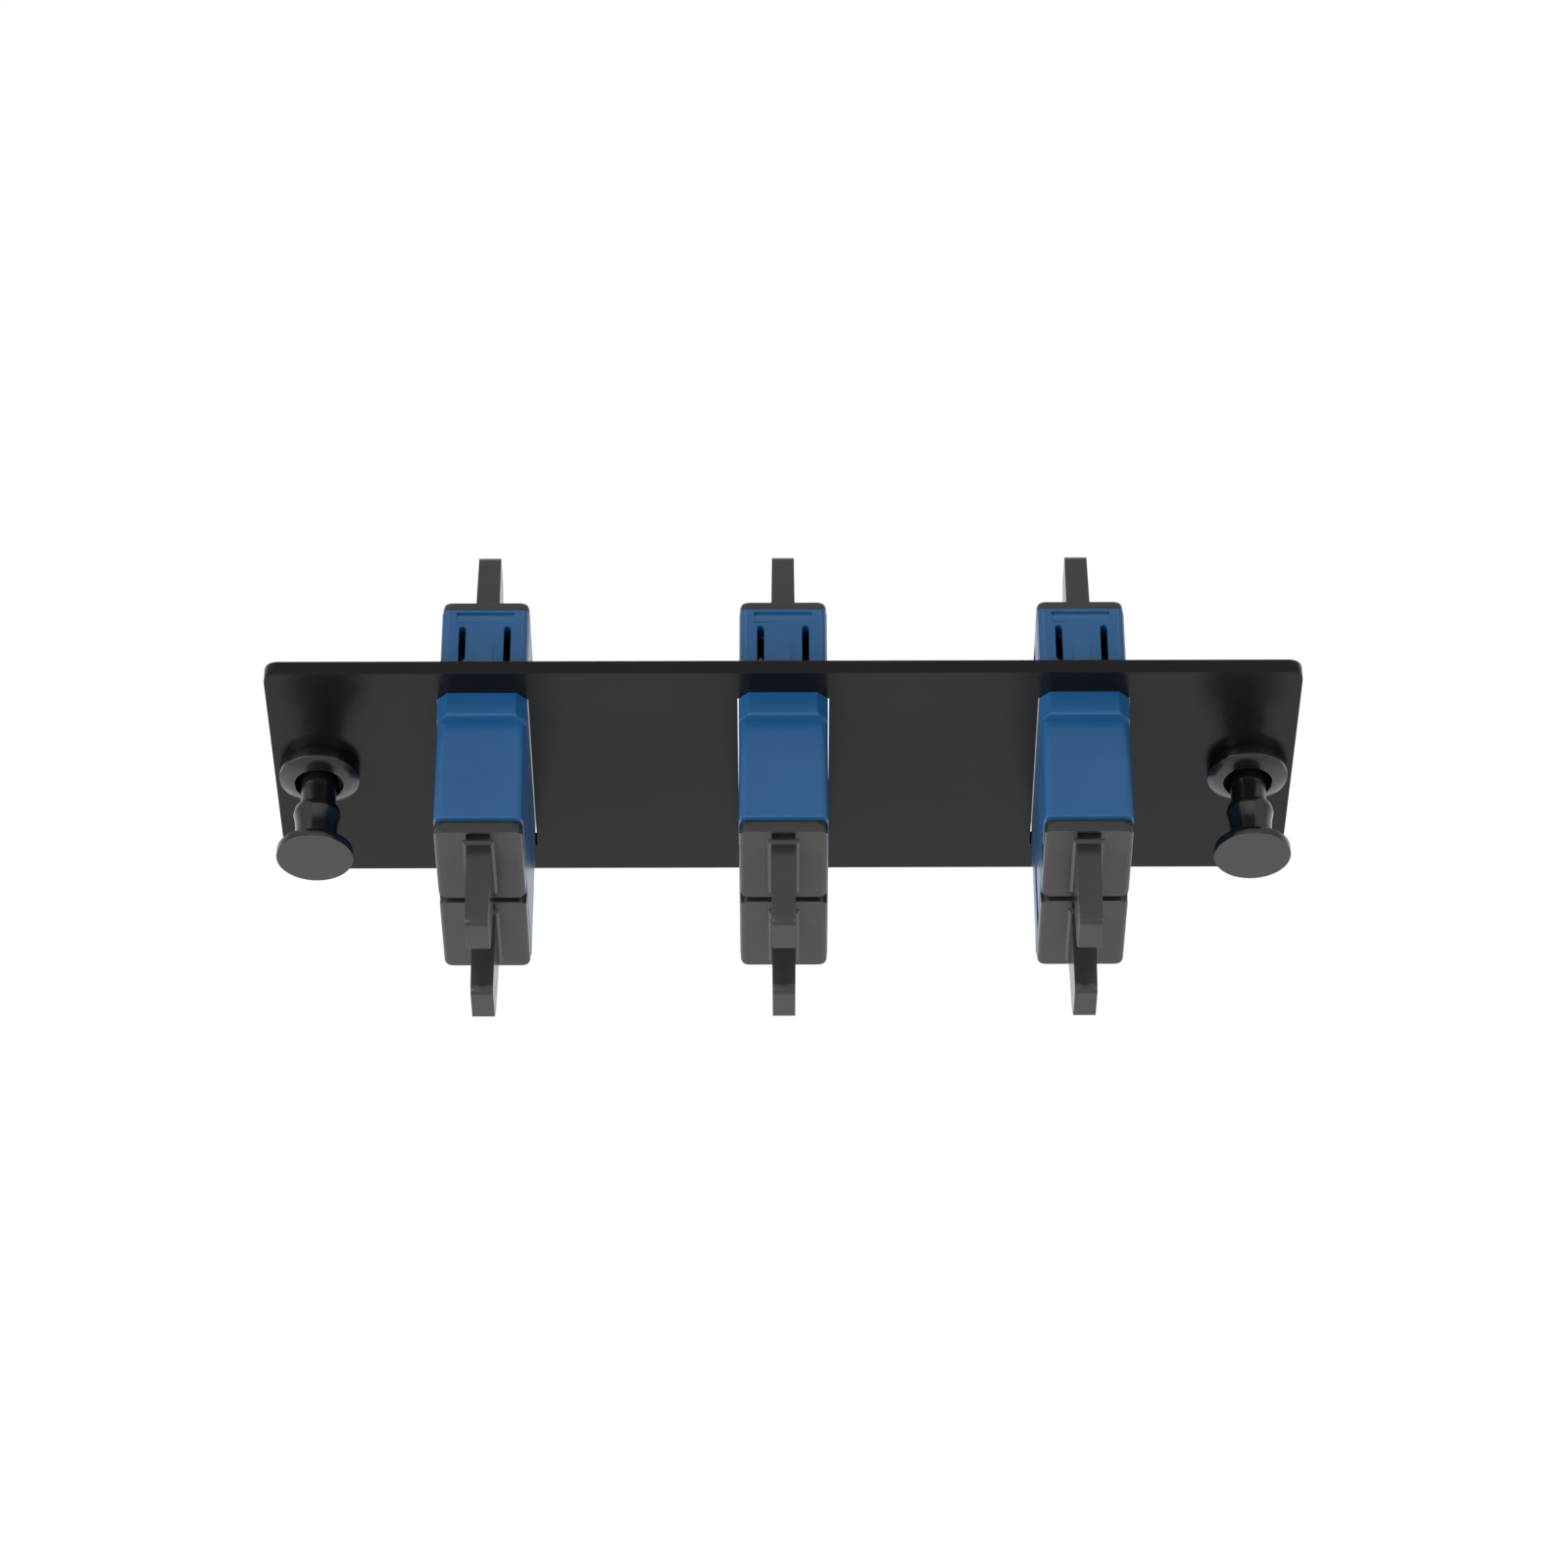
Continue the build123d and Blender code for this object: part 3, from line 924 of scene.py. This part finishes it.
@dataclass
class Latches:
    """The push-pull latches: grommets in the sheet and their plungers."""

    plunger: PlungerShape = PlungerShape()
    grommet: GrommetShape = GrommetShape()
    softener: EdgeSoftener = EdgeSoftener(width=0.03)
    finish: Finish = LATCH_MOULDING

    def build(self) -> list[bpy.types.Object]:
        """Make both grommets and both plungers.

        Returns:
            The four pieces.
        """
        pieces = []
        for side in Side:
            pieces.append(self.build_plunger(f"plunger_{side.value}"))
            pieces.append(self.build_grommet(f"grommet_{side.value}"))
        return pieces

    @staticmethod
    def front_of(node: str) -> Vector:
        """Centre of a turned node's front.

        Args:
            node: The node's name.

        Returns:
            The point, in metres.
        """
        low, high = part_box(node)
        return Vector(((low.x + high.x) / 2, low.y, (low.z + high.z) / 2))

    def build_plunger(self, node: str) -> bpy.types.Object:
        """Turn one plunger.

        Args:
            node: The node that it replaces, which is also its body.

        Returns:
            The piece.
        """
        name = f"{node}_dressed"
        shell = self.plunger.turning().mesh(name, self.front_of(node), closed=False)
        return seat_piece(name, self.softener.soften(shell, name), node, node, self.finish)

    def build_grommet(self, node: str) -> bpy.types.Object:
        """Turn one grommet and cut the two crossed slits that part its legs.

        Args:
            node: The node that it replaces.

        Returns:
            The piece.
        """
        name = f"{node}_dressed"
        front = self.front_of(node)
        shell = self.grommet.turning().mesh(name, front, closed=True)
        cut = self.cut_slits(self.softener.soften(shell, name), front, name)
        return seat_piece(name, cut, node, "panel", self.finish)

    def cut_slits(self, mesh: bpy.types.Mesh, front: Vector, name: str) -> bpy.types.Mesh:
        """Cut the slits from behind the bead to past the legs' tips.

        Args:
            mesh: The turned grommet.
            front: Centre of its front.
            name: A name for the result.

        Returns:
            The slit mesh.
        """
        holder = bpy.data.objects.new(name, mesh)
        bpy.context.scene.collection.objects.link(holder)
        start, end = self.grommet.bead_back * MM, (self.grommet.length + self.grommet.slit) * MM
        centre = front + Vector((0, (start + end) / 2, 0))
        wide, narrow = 2 * self.grommet.collar_r * MM, self.grommet.slit * MM
        cutters = []
        for size in ((wide, end - start, narrow), (narrow, end - start, wide)):
            shell = bmesh.new()
            bmesh.ops.create_cube(shell, size=1.0)
            bmesh.ops.scale(shell, vec=size, verts=shell.verts)
            bmesh.ops.translate(shell, vec=centre, verts=shell.verts)
            box = bpy.data.meshes.new("slit")
            shell.to_mesh(box)
            shell.free()
            cutter = bpy.data.objects.new("slit", box)
            bpy.context.scene.collection.objects.link(cutter)
            cutting = holder.modifiers.new("Slit", "BOOLEAN")
            cutting.operation = "DIFFERENCE"
            cutting.object = cutter
            cutters.append(cutter)
        slit = evaluated_mesh(holder)
        for helper in (holder, *cutters):
            bpy.data.objects.remove(helper)
        slit.name = name
        return slit


@dataclass
class InnerParts:
    """Holders and ceramic sleeves inside the housings."""

    finishes: dict[str, Finish] = field(
        default_factory=lambda: {"holder_": HOLDER_MOULDING, "sleeve_": GROUND_CERAMIC}
    )

    def build(self) -> list[bpy.types.Object]:
        """Dress the inner nodes, whose shape is final.

        Returns:
            The dressed nodes.
        """
        dressed = []
        for node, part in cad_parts.items():
            for prefix, finish in self.finishes.items():
                if node.startswith(prefix):
                    dress_node(node, finish)
                    dressed.append(part)
        return dressed


@dataclass
class StudioCamera:
    """The photograph's viewpoint: place in millimetres, angles in degrees."""

    place: tuple[float, float, float] = (-0.2545, -359.949, 474.902)
    pitch_down: float = 53.0902
    yaw: float = 0.051
    roll: float = -0.0961
    focal_pixels: float = 5540.23
    image_pixels: float = 1600.0
    sensor: float = 36.0
    nearest: float = 10.0
    farthest: float = 20000.0

    def build(self) -> bpy.types.Object:
        """Make the camera and look through it.

        Returns:
            The camera.
        """
        data = bpy.data.cameras.new("Camera")
        data.sensor_width = self.sensor
        data.lens = self.focal_pixels / self.image_pixels * self.sensor
        data.clip_start = self.nearest * MM
        data.clip_end = self.farthest * MM
        camera = bpy.data.objects.new("Camera", data)
        pitch, yaw, roll = (math.radians(a) for a in (self.pitch_down, self.yaw, self.roll))
        across = math.cos(pitch)
        ahead = Vector((math.sin(yaw) * across, math.cos(yaw) * across, -math.sin(pitch)))
        level = Vector((math.cos(yaw), -math.sin(yaw), 0))
        upright = level.cross(ahead)
        right = math.cos(roll) * level + math.sin(roll) * upright
        up = -math.sin(roll) * level + math.cos(roll) * upright
        turn = Matrix((right, up, -ahead)).transposed().to_4x4()
        camera.matrix_world = Matrix.Translation(Vector(self.place) * MM) @ turn
        bpy.context.scene.collection.objects.link(camera)
        bpy.context.scene.camera = camera
        return camera


@dataclass(frozen=True)
class SoftBox:
    """One rectangular studio light: centre and size in metres, power in watts."""

    name: str
    centre: tuple[float, float, float]
    size: tuple[float, float]
    power: float

    def build(self) -> bpy.types.Object:
        """Hang the light and point it at the object.

        Returns:
            The light.
        """
        data = bpy.data.lights.new(self.name, "AREA")
        data.shape = "RECTANGLE"
        data.size, data.size_y = self.size
        data.energy = self.power
        light = bpy.data.objects.new(self.name, data)
        light.location = self.centre
        light.rotation_euler = (-Vector(self.centre)).to_track_quat("-Z", "Y").to_euler()
        bpy.context.scene.collection.objects.link(light)
        return light


@dataclass
class Studio:
    """White surroundings, a pale floor and soft lights.

    Lengths are in metres. Strengths are shares of plain white.
    """

    ambient: float = 0.46
    horizon: float = 0.75
    side_horizon: float = 0.55
    overhead: float = 0.81
    overhead_start: float = 0.1
    overhead_end: float = 0.7
    floor_drop: float = 0.35
    floor_half: float = 12.0
    floor_shade: float = 0.8
    floor_seen_shade: float = 0.2
    floor_glow: float = 0.83
    glow_near: float = 0.6
    glow_far: float = 1.3
    lamps_far: float = 4.0
    glow_past_lamps: float = 1.14
    lights: tuple[SoftBox, ...] = (
        SoftBox("FrontBox", (0.0, -1.3, 0.75), (1.6, 1.3), 1.3),
        SoftBox("LeftBox", (-1.2, -0.6, 0.7), (1.5, 1.3), 27.0),
        SoftBox("RightBox", (1.2, -0.6, 0.7), (1.5, 1.3), 12.0),
        SoftBox("TopBox", (0.0, 0.1, 1.4), (1.2, 1.0), 0.9),
        SoftBox("BackBox", (0.0, 1.4, 0.3), (1.8, 0.6), 3.5),
    )

    def build(self) -> None:
        """Make the world, the floor and the lights."""
        self.build_world()
        self.build_floor()
        for light in self.lights:
            light.build()

    def build_world(self) -> None:
        """Light from all round: white to the camera, greyer to the object, least at the horizon."""
        world = bpy.data.worlds.new("Studio")
        bpy.context.scene.world = world
        world.use_nodes = True
        world.node_tree.nodes.clear()
        build = NodeBuilder(world.node_tree)
        output = build.add("ShaderNodeOutputWorld")
        background = build.add("ShaderNodeBackground")
        place = build.add("ShaderNodeTexCoord")
        split = build.add("ShaderNodeSeparateXYZ")
        build.join(place.outputs["Generated"], split.inputs["Vector"])
        rise = build.add("ShaderNodeMapRange", interpolation_type="SMOOTHSTEP")
        build.join(split.outputs["Z"], rise.inputs["Value"])
        rise.inputs["From Min"].default_value = self.overhead_start
        rise.inputs["From Max"].default_value = self.overhead_end
        aside = build.maths("ABSOLUTE", split.outputs["X"], 0.0)
        build.join(build.spread(aside, self.horizon, self.side_horizon), rise.inputs["To Min"])
        rise.inputs["To Max"].default_value = self.overhead
        path = build.add("ShaderNodeLightPath").outputs
        direct = build.maths("MAXIMUM", path["Is Camera Ray"], path["Is Transmission Ray"])
        seen = build.maths("MAXIMUM", direct, path["Is Glossy Ray"])
        lit = build.maths("MULTIPLY", rise.outputs["Result"], build.spread(seen, self.ambient, 1.0))
        build.join(build.maths("MAXIMUM", direct, lit), background.inputs["Strength"])
        build.join(background.outputs["Background"], output.inputs["Surface"])

    def build_floor(self) -> None:
        """Pale floor that glows to the camera, so that it is white there and keeps the shadow."""
        mesh = bpy.data.meshes.new("floor")
        half, level = self.floor_half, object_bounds()[0][2] - self.floor_drop
        corners = [(x * half, y * half, level) for x, y in ((-1, -1), (1, -1), (1, 1), (-1, 1))]
        mesh.from_pydata(corners, [], [(0, 1, 2, 3)])
        floor = bpy.data.objects.new("floor", mesh)
        bpy.context.scene.collection.objects.link(floor)
        material = bpy.data.materials.new("PaleFloor")
        material.use_nodes = True
        material.node_tree.nodes.clear()
        build = NodeBuilder(material.node_tree)
        output = build.add("ShaderNodeOutputMaterial")
        path = build.add("ShaderNodeLightPath").outputs
        direct = build.maths("MAXIMUM", path["Is Camera Ray"], path["Is Transmission Ray"])
        seen = build.maths("MAXIMUM", direct, path["Is Glossy Ray"])
        diffuse = build.add("ShaderNodeBsdfDiffuse")
        shade = build.spread(seen, self.floor_shade, self.floor_seen_shade)
        build.join(shade, diffuse.inputs["Color"])
        glow = build.add("ShaderNodeEmission")
        place = build.add("ShaderNodeTexCoord")
        level_place = build.add("ShaderNodeVectorMath", operation="MULTIPLY")
        build.join(place.outputs["Object"], level_place.inputs[0])
        level_place.inputs[1].default_value = (1.0, 1.0, 0.0)
        reach = build.add("ShaderNodeVectorMath", operation="LENGTH")
        build.join(level_place.outputs["Vector"], reach.inputs[0])
        fade = build.add("ShaderNodeMapRange", interpolation_type="SMOOTHSTEP")
        build.join(reach.outputs["Value"], fade.inputs["Value"])
        fade.inputs["From Min"].default_value = self.glow_near
        fade.inputs["From Max"].default_value = self.glow_far
        fade.inputs["To Min"].default_value = 1.0
        fade.inputs["To Max"].default_value = self.horizon
        past = build.add("ShaderNodeMapRange", interpolation_type="SMOOTHSTEP")
        build.join(reach.outputs["Value"], past.inputs["Value"])
        past.inputs["From Min"].default_value = self.glow_far
        past.inputs["From Max"].default_value = self.lamps_far
        past.inputs["To Min"].default_value = 1.0
        past.inputs["To Max"].default_value = self.glow_past_lamps
        plain = build.maths("MULTIPLY", direct, past.outputs["Result"])
        faded = build.maths("MULTIPLY", seen, fade.outputs["Result"])
        strength = build.maths("MAXIMUM", plain, faded)
        build.join(build.maths("MULTIPLY", strength, self.floor_glow), glow.inputs["Strength"])
        both = build.add("ShaderNodeAddShader")
        build.join(diffuse.outputs["BSDF"], both.inputs[0])
        build.join(glow.outputs["Emission"], both.inputs[1])
        build.join(both.outputs["Shader"], output.inputs["Surface"])
        mesh.materials.append(material)
        floor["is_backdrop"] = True


def report(pieces: Iterable[bpy.types.Object]) -> None:
    """Log each piece with its triangle count.

    Args:
        pieces: The finished pieces.
    """
    for piece in pieces:
        triangles = sum(len(polygon.vertices) - 2 for polygon in piece.data.polygons)
        LOG.info("%s: %d triangles", piece.name, triangles)


def main() -> None:
    """Build the camera, the studio and every piece, and log each piece's triangle count."""
    logging.basicConfig(level=logging.INFO, format="%(name)s %(message)s")
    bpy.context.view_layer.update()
    StudioCamera().build()
    grid = PortGrid.from_frame()
    makers: tuple[Callable[[], list[bpy.types.Object]], ...] = (
        Sheet().build,
        AdapterHousings(grid).build,
        DustCaps(grid).build,
        Latches().build,
        InnerParts().build,
    )
    for make in makers:
        report(make())
    Studio().build()
    scene = bpy.context.scene
    scene.view_settings.view_transform = "Standard"


if __name__ == "__main__":
    main()
